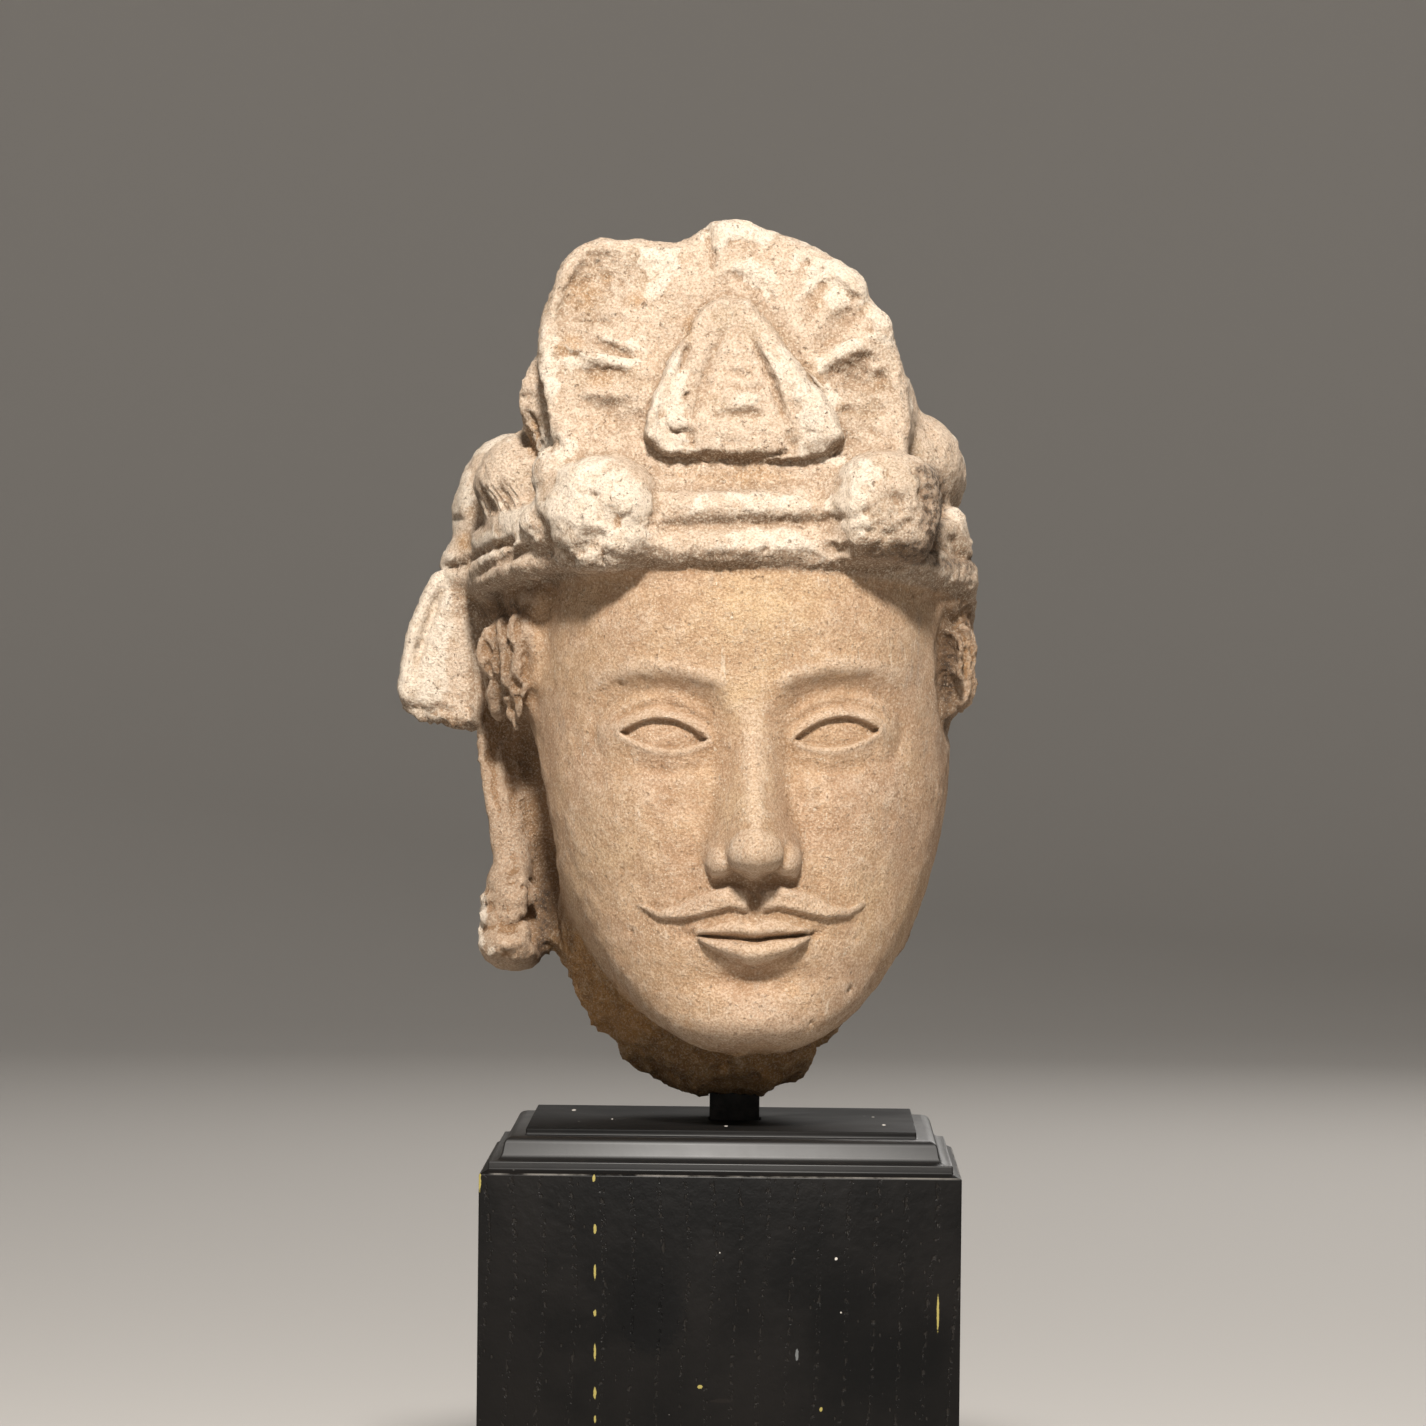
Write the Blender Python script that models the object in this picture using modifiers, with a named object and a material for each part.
# A carved stucco head in a turban, held by a square steel rod on a black moulded wooden plinth.
# Metres, +Z up. The origin is the middle of the plinth's underside, and the face looks along -Y.
import math

import bmesh
import bpy
import numpy as np
from mathutils import Matrix, Vector, noise

# Plinth: a square block whose top edge is worked with a small moulding
PLINTH_WIDTH = 0.120
PLINTH_HEIGHT = 0.120
SHOULDER_RUN = 0.0022  # the slope from the block's arris in to the lower fillet
SHOULDER_RISE = 0.0011
LOWER_FILLET = 0.0020
LOWER_STEP = 0.0008
OGEE_RUN = 0.0055
OGEE_RISE = 0.0060
OGEE_SWING = 0.12  # how far the curve swings out and in, as a share of its run and rise
OGEE_POINTS = 9
UPPER_STEP = 0.0027
UPPER_FILLET = 0.0017
WELD = 0.00005

# Rod: square bar, from its seat in the plinth to its socket in the neck
ROD_WIDTH = 0.0127
ROD_BESIDE = 0.0030  # it stands a little right of the plinth's middle
ROD_SEAT = 0.030
ROD_SHOWN = 0.005
ROD_SOCKET = 0.040
CLEARANCE = 0.0003

# Head: every size of the carving is in parts, and the head is 223.5 parts tall
HEAD_HEIGHT = 0.2235
PARTS_TALL = 223.5
PART = HEAD_HEIGHT / PARTS_TALL
HEAD_BESIDE = 0.0019  # the head's own axis, right of the plinth's middle and behind it
HEAD_SET_BACK = 0.0040
HEAD_FOOT = PLINTH_HEIGHT + ROD_SHOWN
VOXEL = 1.5
TRIANGLES = 9600
FINE_SPARED = 0.7  # how much less the fine carving is thinned

# The face's own frame: its chin, and how far it turns and leans
CHIN = (3.2, 0.0, 12.4)
TURN = math.radians(3.0)
LEAN = math.radians(-1.1)
FACE = Matrix.Translation(CHIN) @ Matrix.Rotation(TURN, 4, "Z") @ Matrix.Rotation(LEAN, 4, "Y")

# The face follows the sculptor's canon: equal thirds from chin to hairline, and five eyes wide
THIRD = 46.3
NOSE_BASE = THIRD
BROW_LINE = 2 * THIRD
CROWN = 3.5 * THIRD
EYE_LINE = CROWN / 2
FACE_HALF_WIDTH = 54.0
EYE_WIDTH = 2 * FACE_HALF_WIDTH / 5
EYE_APART = EYE_WIDTH  # from the middle line to the middle of an eye
MOUTH_LINE = NOSE_BASE * 2 / 3
MOUTH_HALF_WIDTH = 16.0

# The egg of face and skull: an ellipse from the eyes down and a fuller curve above them, seen from the
# front, and for its depth (height over the chin, how far it stands out)
JAW_POWER = 2.0
SKULL_POWER = 3.0
FRONTS = [(0, 52), (5, 57.5), (11, 60.5), (20, 61), (31, 62), (46, 62), (62, 60.5),
          (78, 59.5), (92, 61), (105, 61), (122, 58), (140, 51), (CROWN, 38)]
SIDES = [(0, 44), (11, 31), (20, 20), (31, 9), (46, 0), (78, -6), (CROWN, -6)]
BACKS = [(0, -46), (11, -24), (20, -6), (31, 14), (46, 31), (62, 43), (78, 51), (95, 56),
         (112, 57), (130, 54), (145, 47), (CROWN, 36)]
CHIN_ROUND = 7.0
CROWN_ROUND = 22.0
CHEEK_POWER = 2.3

# The turban, in the head's frame: x right, y back, z up from the broken neck
TURBAN_AXIS = -3.6
BAND_HALF_WIDTH = 60.9
BAND_FRONT = 57.5
BAND_BACK = 58.0
BAND_DROOP = 9.5  # a band hangs lower by this at the sides, and by twice this at the back
LOWER_ROLL = (140.6, 5.2)  # height at the front, radius
UPPER_ROLL = (150.2, 4.4)
PUFF = (159.0, 13.0)
BOSSES = [(-32.4, 148.9, -20), (37.7, 150.7, 24)]  # x, z, degrees turned outward
BOSS_RADII = (13.2, 10.5, 13.8)
FAN_OUTLINE = [(-44, 160), (-48.6, 172.5), (-50, 189), (-47, 205), (-39.5, 216), (-31, 217.6), (-19, 217.2),
               (-12.2, 216.8), (-9.8, 221.4), (0, 222.6), (10, 219.4), (22.5, 214.5), (32.5, 205), (38.5, 193.5),
               (43, 180), (44, 171), (42, 162), (34, 148), (-34, 148)]
FAN_FOOT = 150.0
FAN_FOOT_FRONT = 55.0  # how far the fan's face stands forward at its foot
FAN_LEAN = math.radians(11)
FAN_THICK = 26.0
FAN_EDGE = 5.0
JEWEL_OUTLINE = [(-18.2, 163.5), (-22.4, 169.5), (-15.8, 185), (-6, 199.3), (0.8, 203), (7.6, 199.3),
                 (17.6, 184.6), (26.4, 171), (24, 164.2), (2, 161)]
JEWEL_RAISED = 5.5
JEWEL_ARCH = [(-7, 209.5), (-1, 212), (5, 210), (10.5, 204), (14, 198)]
JEWEL_POINT = [(-8.5, 170.5), (-3.5, 183), (1.3, 192.5), (6.5, 183.5), (13.5, 172.5)]
JEWEL_STEPS = [(173.0, 8.0), (177.8, 6.0), (182.2, 4.2)]  # height and half width of the bars inside it
# The fan's cuts: from, to, half width and depth
FAN_CUTS = [((14.5, 192), (29.5, 209), 2.0, 2.2), ((17, 188.5), (35.5, 203), 1.6, 1.5),
            ((18, 180.5), (37.5, 195), 1.8, 2.4), ((26, 181), (41.5, 187), 3.4, 3.8),
            ((25.5, 176), (42, 178.5), 2.2, 2.0), ((-24, 185.5), (-39.5, 190.5), 1.5, 2.0),
            ((-26, 182), (-43, 184), 2.2, 1.4), ((-24, 203), (-43, 204.5), 2.4, 2.0),
            ((-20, 197), (-42, 196.5), 1.6, 1.2), ((-23, 176), (-40, 176), 3.4, 2.0),
            ((-27, 210), (-40, 208), 4.5, 2.6), ((-9.5, 222), (-7.8, 211.5), 1.3, 3.4)]
RIBBON_OUTLINE = [(-71, 142), (-77, 135), (-83, 124), (-86.2, 112), (-86.6, 101.5), (-82.6, 95.5),
                  (-75, 94), (-66.6, 93.4), (-64.5, 104), (-64.5, 122), (-62, 138)]
RIBBON_THICK = 10.0
RIBBON_BACK = 14.0
FLAP_OUTLINE = [(-44, 160), (-50, 163.5), (-53.8, 171), (-54.6, 178), (-52.4, 186), (-46, 190)]
FLAP_THICK = 4.0


def clear_scene():
    for thing in list(bpy.data.objects):
        bpy.data.objects.remove(thing)


def new_collection(name):
    made = bpy.data.collections.new(name)
    bpy.context.scene.collection.children.link(made)
    return made


def new_material(name, colour, roughness, metallic=0.0):
    material = bpy.data.materials.new(name)
    material.use_nodes = True
    shader = material.node_tree.nodes["Principled BSDF"]
    shader.inputs["Base Color"].default_value = (*colour, 1.0)
    shader.inputs["Roughness"].default_value = roughness
    shader.inputs["Metallic"].default_value = metallic
    material.diffuse_color = (*colour, 1.0)
    return material


# Curves and blends that the carving is worked out with

def curve_through(keys, at):
    """A smooth curve through (place, value) keys that never overshoots them."""
    places, values = np.array(keys, float).T
    gaps = np.diff(places)
    slopes = np.diff(values) / gaps
    product = slopes[:-1] * slopes[1:]
    total = np.where(product > 0, slopes[:-1] + slopes[1:], 1.0)
    inner = np.where(product > 0, 2 * product / total, 0.0)
    tangents = np.concatenate([slopes[:1], inner, slopes[-1:]])
    step = np.clip(np.searchsorted(places, at) - 1, 0, len(gaps) - 1)
    u = np.clip((at - places[step]) / gaps[step], 0, 1)
    rise = values[step + 1] - values[step]
    bend_in = tangents[step] * gaps[step]
    bend_out = tangents[step + 1] * gaps[step]
    return values[step] + u * u * (3 - 2 * u) * rise + u * (1 - u) * ((1 - u) * bend_in - u * bend_out)


def bump(x, z, middle_x, middle_z, half_x, half_z):
    return np.exp(-((x - middle_x) / half_x) ** 2 - ((z - middle_z) / half_z) ** 2)


def smooth_step(low, high, at):
    u = np.clip((at - low) / (high - low), 0, 1)
    return u * u * (3 - 2 * u)


def smooth_max(a, b, blend):
    share = np.clip(0.5 + 0.5 * (a - b) / blend, 0, 1)
    return b + (a - b) * share + blend * share * (1 - share)


def smooth_min(a, b, blend):
    return -smooth_max(-a, -b, blend)


def dome(x, z, middle_x, middle_z, half_x, half_z, front, depth):
    """The front of an ellipsoid, and far back where there is none."""
    inside = 1 - ((x - middle_x) / half_x) ** 2 - ((z - middle_z) / half_z) ** 2
    return front - depth + depth * np.where(inside > 0, np.sqrt(np.maximum(inside, 0)), inside)


def near_line(x, z, line):
    """Each point's distance from a line through corners, and how far along it the nearest place is, 0 to 1."""
    corners = np.array(line, float)
    runs = np.linalg.norm(np.diff(corners, axis=0), axis=1)
    done = np.concatenate([[0], np.cumsum(runs)])
    best = np.full(x.shape, 1e9)
    along = np.zeros(x.shape)
    for start, end, run, before in zip(corners[:-1], corners[1:], runs, done):
        way = (end - start) / run
        t = np.clip((x - start[0]) * way[0] + (z - start[1]) * way[1], 0, run)
        gap = np.hypot(x - start[0] - way[0] * t, z - start[1] - way[1] * t)
        closer = gap < best
        best = np.where(closer, gap, best)
        along = np.where(closer, (before + t) / done[-1], along)
    return best, along


def depth_inside(x, z, outline):
    """How deep each point lies inside an outline; negative outside it."""
    edge, _ = near_line(x, z, outline + outline[:1])
    inside = np.zeros(x.shape, bool)
    for (x0, z0), (x1, z1) in zip(outline, outline[1:] + outline[:1]):
        if z0 != z1:
            crosses = ((z0 > z) != (z1 > z)) & (x < (x1 - x0) * (z - z0) / (z1 - z0) + x0)
            inside ^= crosses
    return np.where(inside, edge, -edge)


# The egg of face and skull

def rings(z):
    """Half width, front, side and back of the egg at a height over the chin."""
    from_eyes = np.clip((z - EYE_LINE) / EYE_LINE, -1, 1)
    power = np.where(from_eyes < 0, JAW_POWER, SKULL_POWER)
    half = FACE_HALF_WIDTH * (1 - np.abs(from_eyes) ** power) ** (1 / power)
    low = np.clip(1 - z / CHIN_ROUND, 0, 1)
    high = np.clip((z - CROWN + CROWN_ROUND) / CROWN_ROUND, 0, 1)
    closing = np.sqrt(np.clip(1 - low ** 2, 0, 1)) * np.sqrt(np.clip(1 - high ** 2, 0, 1))
    side = curve_through(SIDES, z)
    front = side + (curve_through(FRONTS, z) - side) * closing
    back = -side + (curve_through(BACKS, z) + side) * closing
    return half, front, side, back


def egg_front(x, z):
    """How far forward the plain egg stands at a place on the face."""
    half, front, side, _ = rings(z)
    across = np.clip(np.abs(x) / np.maximum(half, 0.1), 0, 1)
    return side + (front - side) * (1 - across ** CHEEK_POWER) ** (1 / CHEEK_POWER)


def make_egg():
    bpy.ops.mesh.primitive_uv_sphere_add(segments=72, ring_count=60, radius=1)
    egg = bpy.context.object
    ball = read_points(egg.data)
    z = (ball[:, 2] + 1) / 2 * CROWN
    half, front, side, back = rings(z)
    flat = np.maximum(np.hypot(ball[:, 0], ball[:, 1]), 1e-6)
    across, deep = ball[:, 0] / flat, ball[:, 1] / flat
    power = 2 / CHEEK_POWER
    x = half * np.sign(across) * np.abs(across) ** power
    forward = -side - (front - side) * np.abs(deep) ** power
    behind = -side + (back + side) * np.abs(deep)
    write_points(egg.data, np.column_stack([x, np.where(deep < 0, forward, behind), z]))
    egg.data.transform(FACE)
    return egg


# Rough forms: what is built up before carving

def read_points(mesh):
    flat = np.empty(len(mesh.vertices) * 3)
    mesh.vertices.foreach_get("co", flat)
    return flat.reshape(-1, 3)


def write_points(mesh, points):
    mesh.vertices.foreach_set("co", points.astype(np.float32).ravel())
    mesh.update()


def facings(mesh):
    flat = np.empty(len(mesh.vertices) * 3)
    mesh.vertices.foreach_get("normal", flat)
    return flat.reshape(-1, 3)


def lump(middle, radii, turn=(0, 0, 0), squareness=2.0):
    """A ball of stucco, pressed to three radii and more or less square, turned by degrees."""
    bpy.ops.mesh.primitive_uv_sphere_add(segments=40, ring_count=24, radius=1)
    ball = bpy.context.object
    points = read_points(ball.data)
    size = (np.abs(points) ** squareness).sum(1) ** (1 / squareness)
    write_points(ball.data, points / size[:, None] * np.array(radii))
    about_x, about_y, about_z = (Matrix.Rotation(math.radians(a), 4, axis) for a, axis in zip(turn, "XYZ"))
    ball.data.transform(Matrix.Translation(middle) @ about_z @ about_y @ about_x)
    return ball


def as_mesh(curve_object):
    """The curve's solid as a mesh object, with its caps welded on."""
    bpy.context.view_layer.update()
    evaluated = curve_object.evaluated_get(bpy.context.evaluated_depsgraph_get())
    mesh = bpy.data.meshes.new_from_object(evaluated)
    mesh.transform(curve_object.matrix_world)
    solid = bpy.data.objects.new(curve_object.name, mesh)
    bpy.context.scene.collection.objects.link(solid)
    bpy.data.objects.remove(curve_object)
    shape = bmesh.new()
    shape.from_mesh(mesh)
    bmesh.ops.remove_doubles(shape, verts=shape.verts, dist=0.01)
    bmesh.ops.recalc_face_normals(shape, faces=shape.faces)
    shape.to_mesh(mesh)
    shape.free()
    return solid


def roll(places, radius, closed=False, tip=1.0):
    """A roll of stucco along places; its ends taper to a share of its radius."""
    curve = bpy.data.curves.new("roll", "CURVE")
    curve.dimensions = "3D"
    curve.bevel_depth = radius
    curve.bevel_resolution = 4
    curve.use_fill_caps = not closed
    line = curve.splines.new("POLY")
    line.points.add(len(places) - 1)
    for index, (place, point) in enumerate(zip(places, line.points)):
        point.co = (*place, 1)
        point.radius = tip + (1 - tip) * math.sin(math.pi * index / (len(places) - 1)) ** 0.7
    line.use_cyclic_u = closed
    made = bpy.data.objects.new("roll", curve)
    bpy.context.scene.collection.objects.link(made)
    return as_mesh(made)


def slab(outline, thickness, rounding, standing):
    """A flat piece cut to an outline, with rounded edges, stood up by a matrix."""
    curve = bpy.data.curves.new("slab", "CURVE")
    curve.dimensions = "2D"
    curve.fill_mode = "BOTH"
    curve.extrude = thickness / 2 - rounding
    curve.bevel_depth = rounding
    curve.bevel_resolution = 3
    curve.offset = -rounding
    line = curve.splines.new("BEZIER")
    line.bezier_points.add(len(outline) - 1)
    for place, point in zip(outline, line.bezier_points):
        point.co = (*place, 0)
        point.handle_left_type = point.handle_right_type = "AUTO"
    line.use_cyclic_u = True
    line.resolution_u = 6
    made = bpy.data.objects.new("slab", curve)
    made.matrix_world = standing
    bpy.context.scene.collection.objects.link(made)
    return as_mesh(made)


def stood(y, foot=0.0, lean=0.0):
    """Stands a flat outline up in the XZ plane, its foot at a height, leaning back."""
    return Matrix.Translation((0, y, foot)) @ Matrix.Rotation(math.radians(90) - lean, 4, "X")


def lowered(outline, foot):
    return [(x, z - foot) for x, z in outline]


def round_head(height, radius, half_width, front, back, droop, tilt=0.0):
    """A closed roll round the turban, lower at the back than at the front."""
    steps = 72
    places = []
    for i in range(steps):
        angle = 2 * math.pi * i / steps
        reach = front if math.cos(angle) > 0 else back
        z = height - droop * (1 - math.cos(angle)) + tilt * math.sin(angle)
        places.append((TURBAN_AXIS + half_width * math.sin(angle), -reach * math.cos(angle), z))
    return roll(places, radius, closed=True)


def fan_front(z):
    """How far forward the fan's face stands at a height."""
    return FAN_FOOT_FRONT - (z - FAN_FOOT) * math.tan(FAN_LEAN)


def turban_forms():
    low, low_radius = LOWER_ROLL
    high, high_radius = UPPER_ROLL
    puff, puff_radius = PUFF
    forms = [
        round_head(low, low_radius, BAND_HALF_WIDTH, BAND_FRONT, BAND_BACK, BAND_DROOP),
        round_head(high, high_radius, BAND_HALF_WIDTH - 0.5, BAND_FRONT - 0.5, BAND_BACK, BAND_DROOP),
        # packing behind the two rolls
        round_head(low + 5, 8, BAND_HALF_WIDTH - 7.5, BAND_FRONT - 6, BAND_BACK - 7, BAND_DROOP),
        round_head(puff, puff_radius, 49.8, 26, 44, 2, tilt=2.0),
        lump((-2, 8, 148), (54, 50, 42)),
        # the puffs of cloth beside the fan, and the backing behind the left one
        lump((-54, -12, 156.5), (13, 17, 12.5), turn=(0, -12, 0), squareness=2.1),
        lump((45.5, -10, 162), (12, 17, 13), turn=(0, 12, 0), squareness=2.1),
        lump((-58.5, 17, 150.5), (14.5, 17, 19), turn=(0, 12, 0), squareness=2.3),
        # the fan's thick right shoulder
        lump((37.5, -22, 173), (8.5, 13, 13.5), turn=(0, 8, 0)),
        # the band's broken end on the right, pinched out like a leaf
        lump((56.6, -14, 141), (3.8, 9, 10), turn=(0, -20, 12)),
        lump((58.6, -8, 132), (3.2, 9, 6), turn=(0, -6, 8)),
        # where the ribbon leaves the band
        lump((-68, 12, 137), (7, 8, 9)),
    ]
    for x, z, outward in BOSSES:
        forms.append(lump((x, 3 - BAND_FRONT, z), BOSS_RADII, turn=(0, 0, outward), squareness=2.9))
    middle = fan_front(FAN_FOOT) - FAN_THICK / 2
    forms.append(slab(lowered(FAN_OUTLINE, FAN_FOOT), FAN_THICK, FAN_EDGE, stood(-middle, FAN_FOOT, FAN_LEAN)))
    middle = fan_front(FAN_FOOT) + JEWEL_RAISED - FAN_THICK / 4
    forms.append(slab(lowered(JEWEL_OUTLINE, FAN_FOOT), FAN_THICK / 2, 2.0, stood(-middle, FAN_FOOT, FAN_LEAN)))
    forms.append(slab(RIBBON_OUTLINE, RIBBON_THICK, 3.0, stood(RIBBON_BACK)))
    for layer in range(2):
        forms.append(slab(FLAP_OUTLINE, FLAP_THICK, 1.5, stood(-29 + layer * 8, lean=math.radians(layer * 2))))
    return forms


def lock(place, drop, sway, turns, start=0.0, steps=11):
    """The path of a hanging lock of hair that sways as it falls."""
    x, y, z = place
    places = []
    for i in range(steps):
        share = i / (steps - 1)
        swing = math.sin(2 * math.pi * (turns * share + start))
        places.append((x + sway * 0.5 * swing, y + sway * swing, z - drop * share))
    return places


def ear_forms(side, stand):
    """Ear and temple locks in the face's frame; side is -1 on the left of the view."""
    out = FACE_HALF_WIDTH + stand
    rim = [(out - 1, -3, 90), (out + 1.5, -4, 99), (out + 3, 1, 107.5), (out + 3.4, 9, 110), (out + 3.4, 17, 106),
           (out + 3, 20, 97), (out + 2.4, 17.5, 86)]
    forms = [
        lump((side * (out - 1), 8, 97), (5, 12, 15)),
        roll([(side * x, y, z) for x, y, z in rim], 2.6),
        roll([(side * x, y, z) for x, y, z in ((out, 3, 86), (out + 1.5, 6, 95), (out + 1.8, 10, 101))], 2.2),
    ]
    # locks, from the ear forward to the edge of the face
    for index, (drop, thick) in enumerate(((17, 3.0), (26, 3.6), (29, 3.6), (20, 3.2))):
        place = (side * (out + 1.6 - 0.5 * index ** 2), -4.5 - 5.2 * index, 114)
        forms.append(roll(lock(place, drop, 1.6, 1.1, start=0.13 * index), thick, tip=0.35))
    for form in forms:
        form.data.transform(FACE)
    return forms


def side_forms():
    lobe = [(-59.5, 14, 101), (-58.8, 12, 90), (-58.2, 9, 78), (-57.4, 7, 66), (-56.8, 6, 56)]
    return ear_forms(-1, 3.8) + ear_forms(1, 0.6) + [
        roll(lobe, 5.4),
        roll([(-55.5, 12, 98), (-54.7, 10, 80), (-53.2, 8, 62)], 4.4),
        lump((-57.6, 5, 50), (7.3, 8.5, 9)),
        lump((-56.4, 4, 39.5), (9, 9.5, 8.6), squareness=2.4),
        # the right ear's lobe is broken off short
        lump((55.5, 14, 104), (4.6, 6, 8)),
        # broken core of the neck, and the ground behind the jaw
        lump((-3.6, 7, 48), (43, 41, 48), squareness=1.8),
        lump((0.5, -2, 16), (21.5, 21, 16), squareness=2.3),
        lump((-37, 14, 52), (13, 16, 20)),
        lump((28, 18, 54), (15, 16, 20)),
        # what fills in behind the lobe, and between the ears and the band
        lump((-51, 15, 64), (8, 9, 18)),
        lump((-57, 8, 125), (6.5, 15, 8)),
        lump((55.5, 8, 125), (6, 15, 8)),
    ]


# Carving the face

def brow_arch(away):
    """The height of the brow's lower edge, away from the middle line."""
    return BROW_LINE - 3.4 + 7.0 * np.sin(np.pi * np.clip((away - 2) / 45, 0, 1)) ** 0.8


def eye_relief(surface, x, z, side):
    """An almond eye, half closed: the ball, and two lids that stand proud of it."""
    outward = side * x - EYE_APART
    half = EYE_WIDTH / 2
    near = np.clip(np.abs(outward) / half, 0, 1.3)
    level = EYE_LINE + 0.09 * outward
    front = 56.9 - 0.27 * outward
    lids = dome(outward, z, 0.4, EYE_LINE + 0.8, half + 4.4, 11.2, front, 10.5)
    surface = smooth_max(surface, lids, 1.1)
    fold = level + 8.3 * (1 - (outward / (half + 5)) ** 2)
    surface = surface - 0.9 * np.exp(-((z - fold) / 1.1) ** 2) * smooth_step(1.3, 1.0, near)
    upper = level + 4.3 * (1 - near ** 2.1)
    lower = level - 3.1 * (1 - near ** 2.0)
    opened = smooth_step(-0.35, 0.45, z - lower) * smooth_step(-0.35, 0.35, upper - z) * (near < 1.0)
    ball = dome(outward, z, 0.2, EYE_LINE, half + 2.6, 10.0, front - 1.8, 9.0)
    surface = surface * (1 - opened) + np.minimum(ball, surface) * opened
    within = smooth_step(1.25, 0.9, near)
    surface = surface + 0.8 * np.exp(-((z - upper - 0.9) / 0.9) ** 2) * within
    return surface + 0.6 * np.exp(-((z - lower + 0.9) / 0.9) ** 2) * within


def nose_relief(surface, x, z):
    ridge = curve_through([(42, 60), (44.5, 63.5), (47, 70), (49.5, 76), (52, 78.3), (55, 77.6), (60, 74.4),
                           (68, 69.6), (77, 64.8), (84, 62.3), (90, 61.6), (97, 60), (104, 50)], z)
    half = curve_through([(44, 5.0), (52, 4.6), (60, 3.6), (76, 3.4), (86, 4.2), (96, 9)], z)
    steep = curve_through([(44, 2.0), (52, 1.9), (62, 1.8), (76, 1.4), (86, 0.9), (96, 0.4)], z)
    bridge = ridge - steep * (np.sqrt(x * x + half * half) - half) - 0.012 * x * x
    tip = dome(x, z, 0, 52.3, 7.2, 6.5, 78.6, 9)
    wings = dome(np.abs(x), z, 7.5, 50.0, 4.5, 5.6, 70.8, 9)
    nose = smooth_max(smooth_max(bridge, tip, 3.0), wings, 1.4)
    under = 63.4 + (z - NOSE_BASE + 1.6 - 0.10 * np.abs(x)) * 3.6
    nose = smooth_min(nose, under, 1.6)
    nose = nose - 4.6 * bump(np.abs(x), z, 4.5, NOSE_BASE, 2.3, 1.9)
    return smooth_max(surface, nose, 1.8)


def mouth_relief(surface, x, z):
    near = np.clip(np.abs(x) / MOUTH_HALF_WIDTH, 0, 1.4)
    line = MOUTH_LINE + 0.9 * near ** 2 - 0.5 * np.exp(-(x / 3.2) ** 2)
    top = line + 5.3 * (1 - np.clip(near, 0, 1) ** 1.7) - 1.0 * np.exp(-(x / 2.4) ** 2) + 0.15
    low = line - 6.6 * (1 - np.clip(near / 0.95, 0, 1) ** 2) - 0.15
    in_upper = np.clip((z - line) / (top - line), 0, 1)
    in_lower = np.clip((line - z) / (line - low), 0, 1)
    fade = smooth_step(1.02, 0.72, near)
    surface = surface + 2.5 * np.sin(np.pi * in_upper) ** 0.8 * fade
    surface = surface + 3.5 * np.sin(np.pi * in_lower) ** 0.7 * fade
    surface = surface + 0.5 * np.exp(-((z - top) / 0.8) ** 2) * fade
    surface = surface - 2.2 * np.exp(-((z - line) / 0.75) ** 2) * smooth_step(1.15, 0.95, near)
    return surface - 1.0 * bump(np.abs(x), z, MOUTH_HALF_WIDTH + 0.8, MOUTH_LINE + 1.2, 2.8, 2.6)


def moustache_relief(surface, x, z):
    """Two thin swept strokes with lifted tips."""
    away = np.abs(x)
    gap, along = near_line(away, z, [(1.8, 40.2), (6, 41.2), (12, 39.6), (18, 37.4), (23.5, 36.7), (28, 38.8)])
    half = 2.3 * (1 - smooth_step(0.35, 1.0, along)) + 0.7
    raised = 2.3 * (1 - smooth_step(0.7, 1.05, along) * 0.6) * smooth_step(0.6, 2.4, away)
    return surface + raised * (1 - smooth_step(0.55, 1.25, gap / half))


def face_relief(x, z):
    """How far forward the carved face stands, in the face's own frame."""
    away = np.abs(x)
    surface = egg_front(x, z)
    # soft planes: muzzle, cheekbones, chin and the folds beside the nose
    surface = surface + 2.6 * bump(x, z, 0, 36, 19, 13)
    surface = surface + 1.6 * bump(away, z, 31, 64, 13, 13) - 1.0 * bump(away, z, 31, 40, 9, 12)
    surface = surface + 2.8 * bump(x, z, 0, 9.5, 9.5, 6.5) - 2.8 * bump(x, z, 0, 20.5, 12, 3.6)
    surface = surface - 0.9 * bump(away, z, 15.5, 44, 2.6, 7)
    # sockets under the arch of the brow
    arch = brow_arch(away)
    in_socket = smooth_step(44, 30, away) * smooth_step(4.5, 9, away)
    surface = surface - 4.8 * bump(away, z, 21.5, 84, 15, 10) - 2.8 * bump(away, z, 11, 80.5, 4.6, 8)
    surface = surface + 1.3 * np.exp(-((z - arch - 1.8) / 3.2) ** 2) * in_socket
    surface = surface - 1.6 * smooth_step(1.6, -1.6, z - arch) * smooth_step(74, 86, z) * in_socket
    for side in (-1, 1):
        surface = eye_relief(surface, x, z, side)
    surface = nose_relief(surface, x, z)
    surface = surface - 0.9 * np.exp(-(x / 1.7) ** 2) * smooth_step(36, 38.5, z) * smooth_step(46.5, 44, z)
    surface = mouth_relief(surface, x, z)
    return moustache_relief(surface, x, z)


def carve_face(points, facing):
    """Moves the points on the front of the face to the carved surface."""
    to_head, to_face = np.array(FACE), np.array(FACE.inverted())
    local = points @ to_face[:3, :3].T + to_face[:3, 3]
    forward = -(facing @ to_face[:3, :3].T)[:, 1]
    x, y, z = local.T
    reach = np.abs(x) / np.maximum(rings(z)[0], 1)
    share = smooth_step(0.94, 0.84, reach) * smooth_step(2.5, 7, z) * smooth_step(116, 106, z)
    share = share * smooth_step(0.05, 0.3, forward) * (y < -12)
    local[:, 1] = y * (1 - share) - face_relief(x, z) * share
    return local @ to_head[:3, :3].T + to_head[:3, 3]


# Carving the turban

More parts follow.
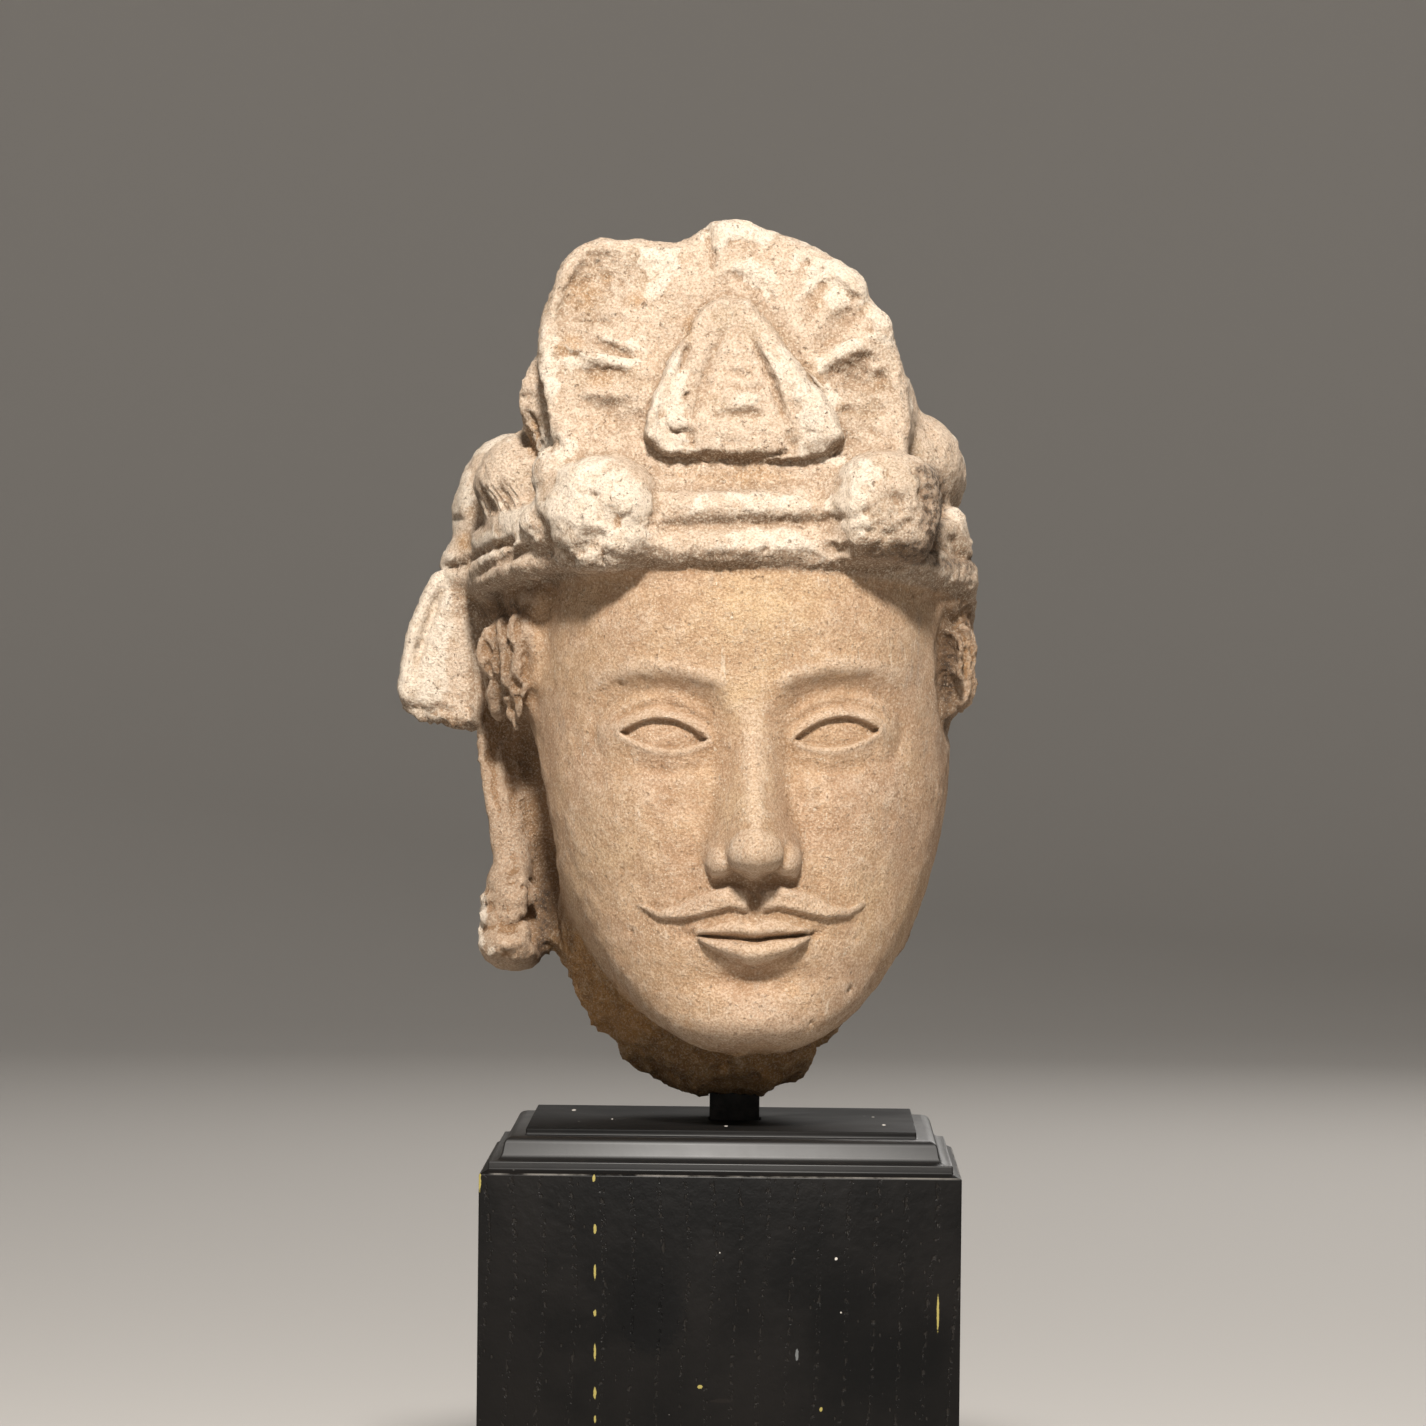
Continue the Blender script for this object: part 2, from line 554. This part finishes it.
def fan_relief(x, z):
    """How far forward the carved fan stands: its flutes, and the plate with the jewel."""
    surface = fan_front(z) - 2.5 * (x / 50) ** 4
    for start, end, half, depth in FAN_CUTS:
        gap, along = near_line(x, z, [start, end])
        surface = surface - depth * np.exp(-(gap / half) ** 2) * smooth_step(-0.3, 0.25, along)
    arch, _ = near_line(x, z, JEWEL_ARCH)
    surface = surface + 2.2 * (1 - smooth_step(0.6, 3.2, arch))
    deep = depth_inside(x, z, JEWEL_OUTLINE)
    plate = fan_front(z) + JEWEL_RAISED
    rim_half = 3.3 + 0.03 * x
    rim = 2.6 * np.sqrt(np.clip(1 - ((deep - rim_half - 0.4) / rim_half) ** 2, 0, 1))
    point, _ = near_line(x, z, JEWEL_POINT)
    plate = plate + rim - 1.0 * smooth_step(6, 8, deep) + 1.9 * (1 - smooth_step(0.5, 2.0, point))
    for height, half_width in JEWEL_STEPS:
        bar = smooth_step(half_width + 1, half_width - 1, np.abs(x - 2.4)) * np.exp(-((z - height) / 1.2) ** 2)
        plate = plate + 1.5 * bar
    return np.where(deep > 0, plate, surface)


def ribbon_relief(x, z):
    """The crease down the ribbon."""
    crease, _ = near_line(x, z, [(-73.5, 134), (-79, 120), (-80.8, 106), (-80, 97)])
    return -1.4 * np.exp(-(crease / 1.2) ** 2)


def puff_relief(x, z):
    """The combed strands on the left puff."""
    strands = np.cos(((x + 58) * 0.8 + (z - 150) * 0.6) * 2 * math.pi / 3.4)
    return 0.8 * strands * bump(x, z, -59.5, 151, 6.5, 4.5)


def carve_turban(points, facing):
    x, y, z = points.T
    to_front = smooth_step(0.1, 0.5, -facing[:, 1])
    moved = points.copy()
    within = depth_inside(x, z, FAN_OUTLINE)
    on_fan = smooth_step(2.5, 6, within) * smooth_step(156, 160, z) * (np.abs(-y - fan_front(z)) < 11) * to_front
    for boss_x, boss_z, _ in BOSSES:
        on_fan = on_fan * smooth_step(BOSS_RADII[0], BOSS_RADII[0] + 2, np.hypot(x - boss_x, z - boss_z))
    moved[:, 1] = y * (1 - on_fan) - fan_relief(x, z) * on_fan
    push = np.where((x < -62) & (y > 2) & (z < 140), ribbon_relief(x, z), 0)
    push = push + np.where((x < -48) & (z > 144) & (y < 0), puff_relief(x, z), 0)
    moved[:, 1] -= push * to_front
    return moved


def weather(points, facing):
    """Broken and worn skin: deep on the neck's core, lighter on the turban, hardly any on the face."""
    core = smooth_step(44, 20, points[:, 2] - np.minimum(0, points[:, 1] + 20) * 1.2) * 0.8
    cloth = smooth_step(132, 142, points[:, 2]) * 0.4
    strength = np.maximum(np.maximum(core, cloth), 0.08)
    rough = [noise.noise(Vector(p) * 0.11) + 0.5 * noise.noise(Vector(p) * 0.27) for p in points]
    return points + facing * (np.array(rough) * strength)[:, None]


def join(forms):
    bpy.ops.object.select_all(action="DESELECT")
    for form in forms:
        form.select_set(True)
    bpy.context.view_layer.objects.active = forms[0]
    bpy.ops.object.join()
    return bpy.context.object


def apply_modifier(thing, kind, **settings):
    modifier = thing.modifiers.new(kind.lower(), kind)
    for name, value in settings.items():
        setattr(modifier, name, value)
    bpy.context.view_layer.objects.active = thing
    bpy.ops.object.modifier_apply(modifier=modifier.name)


def carve(head, *cuts):
    for carving in cuts:
        write_points(head.data, carving(read_points(head.data), facings(head.data)))


def thin_out(head):
    """Brings the head down to its triangles, sparing the face, the jewel and the locks."""
    points = read_points(head.data)
    x, y, z = points.T
    fine = np.maximum(bump(x, z, CHIN[0], CHIN[2] + EYE_LINE - 20, 42, 52), bump(x, z, 2, 180, 30, 28)) * (y < -20)
    fine = np.maximum(fine, bump(np.abs(x), z, 58, 112, 9, 18) * (y < 24))
    group = head.vertex_groups.new(name="thinned")
    for index, share in enumerate(1 - FINE_SPARED * fine):
        group.add([index], float(share), "REPLACE")
    faces = sum(len(face.vertices) - 2 for face in head.data.polygons)
    apply_modifier(head, "DECIMATE", ratio=TRIANGLES / faces, vertex_group=group.name, vertex_group_factor=1.0)


def make_head():
    """The head in parts, from its rough forms to the carved and thinned solid, then sized and set on the rod."""
    head = join([make_egg()] + turban_forms() + side_forms())
    head.name = "head"
    apply_modifier(head, "REMESH", mode="VOXEL", voxel_size=VOXEL)
    apply_modifier(head, "SMOOTH", factor=0.5, iterations=2)
    carve(head, carve_face, carve_turban)
    apply_modifier(head, "REMESH", mode="VOXEL", voxel_size=VOXEL)
    carve(head, carve_face, weather)
    thin_out(head)
    points = read_points(head.data)
    foot = points[:, 2].min()
    points[:, 2] = (points[:, 2] - foot) * PARTS_TALL / (points[:, 2].max() - foot)
    write_points(head.data, points * PART)
    head.data.transform(Matrix.Translation((HEAD_BESIDE, HEAD_SET_BACK, HEAD_FOOT)))
    return head


# Rod and plinth

def bar(name, width, low, high):
    """A square bar on the rod's axis."""
    bpy.ops.mesh.primitive_cube_add(size=1, location=(ROD_BESIDE, 0, (low + high) / 2))
    made = bpy.context.object
    made.name = name
    made.scale = (width, width, high - low)
    bpy.ops.object.transform_apply(location=False, rotation=False, scale=True)
    return made


def plinth_profile():
    """(half width, height) down from the top's edge to the underside."""
    half = PLINTH_WIDTH / 2 - SHOULDER_RUN - LOWER_STEP - OGEE_RUN - UPPER_STEP
    height = PLINTH_HEIGHT
    profile = [(half, height), (half, height - UPPER_FILLET)]
    half, height = half + UPPER_STEP, height - UPPER_FILLET
    for i in range(OGEE_POINTS):
        share = i / (OGEE_POINTS - 1)
        swing = OGEE_SWING * math.sin(2 * math.pi * share)
        profile.append((half + OGEE_RUN * (share + swing), height - OGEE_RISE * (share - swing)))
    half, height = half + OGEE_RUN + LOWER_STEP, height - OGEE_RISE
    profile.append((half, height))
    profile.append((half, height - LOWER_FILLET))
    profile.append((half + SHOULDER_RUN, height - LOWER_FILLET - SHOULDER_RISE))
    profile.append((half + SHOULDER_RUN, 0))
    return profile


def make_plinth():
    """The profile turned about the middle in four flat sides, so the moulding meets in mitres."""
    shape = bmesh.new()
    places = [(0, PLINTH_HEIGHT)] + plinth_profile() + [(0, 0)]
    verts = [shape.verts.new((half, half, height)) for half, height in places]
    for upper, lower in zip(verts[:-1], verts[1:]):
        shape.edges.new((upper, lower))
    mesh = bpy.data.meshes.new("plinth")
    shape.to_mesh(mesh)
    shape.free()
    plinth = bpy.data.objects.new("plinth", mesh)
    bpy.context.scene.collection.objects.link(plinth)
    screw = plinth.modifiers.new("four sides", "SCREW")
    screw.steps = screw.render_steps = 4
    screw.use_merge_vertices = True
    screw.merge_threshold = WELD
    screw.use_smooth_shade = False
    return plinth


def cut(thing, cutter, cutters):
    boolean = thing.modifiers.new("hole", "BOOLEAN")
    boolean.operation = "DIFFERENCE"
    boolean.object = cutter
    cutter.display_type = "WIRE"
    cutter.hide_render = True
    move_to(cutter, cutters)


def move_to(thing, collection):
    for old in list(thing.users_collection):
        old.objects.unlink(thing)
    collection.objects.link(thing)


def main():
    clear_scene()
    work = new_collection("stucco head on a plinth")
    cutters = new_collection("cutters")
    hole_width = ROD_WIDTH + 2 * CLEARANCE
    past = ROD_SHOWN / 2  # how far each cutter reaches out of the piece it cuts

    plinth = make_plinth()
    plinth.data.materials.append(new_material("black painted wood", (0.022, 0.021, 0.020), 0.45))
    seat_floor = PLINTH_HEIGHT - ROD_SEAT
    cut(plinth, bar("rod seat", hole_width, seat_floor - CLEARANCE, PLINTH_HEIGHT + past), cutters)

    rod = bar("mounting_rod", ROD_WIDTH, seat_floor, HEAD_FOOT + ROD_SOCKET)
    rod.data.materials.append(new_material("black steel", (0.012, 0.012, 0.012), 0.5, 1.0))

    head = make_head()
    head.data.materials.append(new_material("stucco", (0.60, 0.47, 0.34), 0.85))
    cut(head, bar("rod socket", hole_width, HEAD_FOOT - past, HEAD_FOOT + ROD_SOCKET + CLEARANCE), cutters)

    for thing in (plinth, rod, head):
        move_to(thing, work)


if __name__ == "__main__":
    main()
